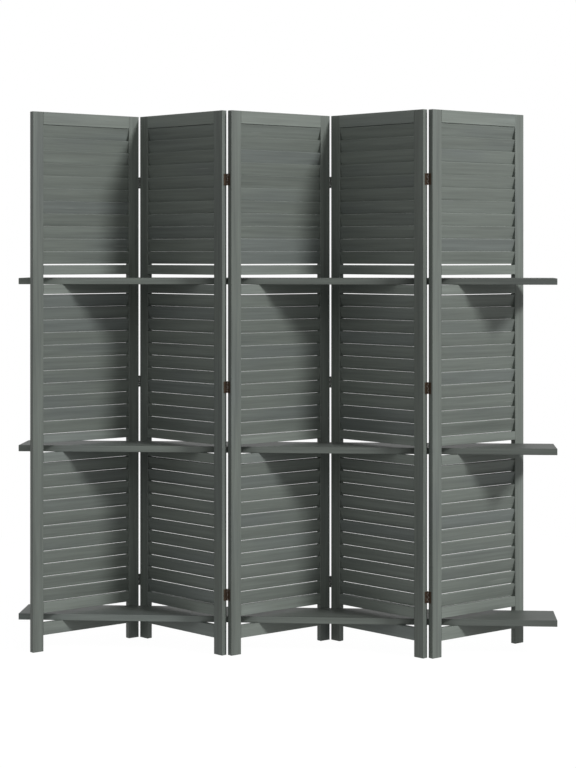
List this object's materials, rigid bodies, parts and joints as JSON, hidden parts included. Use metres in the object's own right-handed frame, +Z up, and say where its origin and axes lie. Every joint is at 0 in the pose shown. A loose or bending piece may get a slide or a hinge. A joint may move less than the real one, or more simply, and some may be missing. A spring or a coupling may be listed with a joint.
{
  "type": "folding screen with shelves",
  "caption": "Zigzag folding screen of hinged louvred wooden panels, with long plank shelves that slide through slots in the panels",
  "frame": {"origin": "on the floor, at the middle of the shelves' length and on the zigzag's mid-line", "axes": "+X along the shelves to the viewer's right, +Y away from the viewer to the back, +Z up"},
  "size_m": [1.7, 0.2698, 1.7],
  "materials": {
    "painted_wood": "slate grey paint over wood, low sheen, faint grain",
    "hinge_metal": "antique bronze plating, satin",
    "screw_metal": "antique bronze plating, satin"
  },
  "bodies": {
    "bottom_shelf": {"shelf_bottom": "painted_wood"},
    "middle_shelf": {"shelf_middle": "painted_wood"},
    "top_shelf": {"shelf_top": "painted_wood"},
    "panel_1": {"panel_1_stile_left": "painted_wood", "panel_1_stile_right": "painted_wood", "panel_1_top_rail": "painted_wood", "panel_1_bottom_rail": "painted_wood", "panel_1_slot_rails": "painted_wood", "panel_1_louvres_upper": "painted_wood", "panel_1_louvres_middle": "painted_wood", "panel_1_louvres_lower": "painted_wood", "panel_1_screws": "screw_metal", "panel_1_hinge_leaves_right": "hinge_metal", "panel_1_hinge_pins": "hinge_metal"},
    "panel_2": {"panel_2_stile_left": "painted_wood", "panel_2_stile_right": "painted_wood", "panel_2_top_rail": "painted_wood", "panel_2_bottom_rail": "painted_wood", "panel_2_slot_rails": "painted_wood", "panel_2_louvres_upper": "painted_wood", "panel_2_louvres_middle": "painted_wood", "panel_2_louvres_lower": "painted_wood", "panel_2_screws": "screw_metal", "panel_2_hinge_leaves_left": "hinge_metal", "panel_2_hinge_leaves_right": "hinge_metal", "panel_2_hinge_pins": "hinge_metal"},
    "panel_3": {"panel_3_stile_left": "painted_wood", "panel_3_stile_right": "painted_wood", "panel_3_top_rail": "painted_wood", "panel_3_bottom_rail": "painted_wood", "panel_3_slot_rails": "painted_wood", "panel_3_louvres_upper": "painted_wood", "panel_3_louvres_middle": "painted_wood", "panel_3_louvres_lower": "painted_wood", "panel_3_screws": "screw_metal", "panel_3_hinge_leaves_left": "hinge_metal", "panel_3_hinge_leaves_right": "hinge_metal", "panel_3_hinge_pins": "hinge_metal"},
    "panel_4": {"panel_4_stile_left": "painted_wood", "panel_4_stile_right": "painted_wood", "panel_4_top_rail": "painted_wood", "panel_4_bottom_rail": "painted_wood", "panel_4_slot_rails": "painted_wood", "panel_4_louvres_upper": "painted_wood", "panel_4_louvres_middle": "painted_wood", "panel_4_louvres_lower": "painted_wood", "panel_4_screws": "screw_metal", "panel_4_hinge_leaves_left": "hinge_metal", "panel_4_hinge_leaves_right": "hinge_metal", "panel_4_hinge_pins": "hinge_metal"},
    "panel_5": {"panel_5_stile_left": "painted_wood", "panel_5_stile_right": "painted_wood", "panel_5_top_rail": "painted_wood", "panel_5_bottom_rail": "painted_wood", "panel_5_slot_rails": "painted_wood", "panel_5_louvres_upper": "painted_wood", "panel_5_louvres_middle": "painted_wood", "panel_5_louvres_lower": "painted_wood", "panel_5_screws": "screw_metal", "panel_5_hinge_leaves_left": "hinge_metal"}
  },
  "joints": [
    {"name": "screen_fold", "type": "hinge", "parent": "bottom_shelf", "child": "panel_3", "pos_m": [-0.022, 0, 0], "axis": [0, 0, 1], "range_deg": [-3.5, 49]},
    {"name": "hinge_2_3", "type": "hinge", "parent": "panel_3", "child": "panel_2", "pos_m": [-0.17823, -0.12236, 0], "axis": [0, 0, 1], "range_deg": [-98, 7]},
    {"name": "hinge_3_4", "type": "hinge", "parent": "panel_3", "child": "panel_4", "pos_m": [0.13423, 0.12236, 0], "axis": [0, 0, 1], "range_deg": [-98, 7]},
    {"name": "hinge_1_2", "type": "hinge", "parent": "panel_2", "child": "panel_1", "pos_m": [-0.49068, 0.12236, 0], "axis": [0, 0, 1], "range_deg": [-7, 98]},
    {"name": "hinge_4_5", "type": "hinge", "parent": "panel_4", "child": "panel_5", "pos_m": [0.44668, -0.12236, 0], "axis": [0, 0, 1], "range_deg": [-7, 98]},
    {"name": "middle_shelf_slide", "type": "slide", "parent": "bottom_shelf", "child": "middle_shelf", "axis": [1, 0, 0], "range_m": [-0.75, 0.75]},
    {"name": "top_shelf_slide", "type": "slide", "parent": "bottom_shelf", "child": "top_shelf", "axis": [1, 0, 0], "range_m": [-0.75, 0.75]}
  ],
  "couplings": [
    {"joint": "hinge_2_3", "follows": "screen_fold", "ratio": -2},
    {"joint": "hinge_3_4", "follows": "screen_fold", "ratio": -2},
    {"joint": "hinge_1_2", "follows": "screen_fold", "ratio": 2},
    {"joint": "hinge_4_5", "follows": "screen_fold", "ratio": 2}
  ]
}
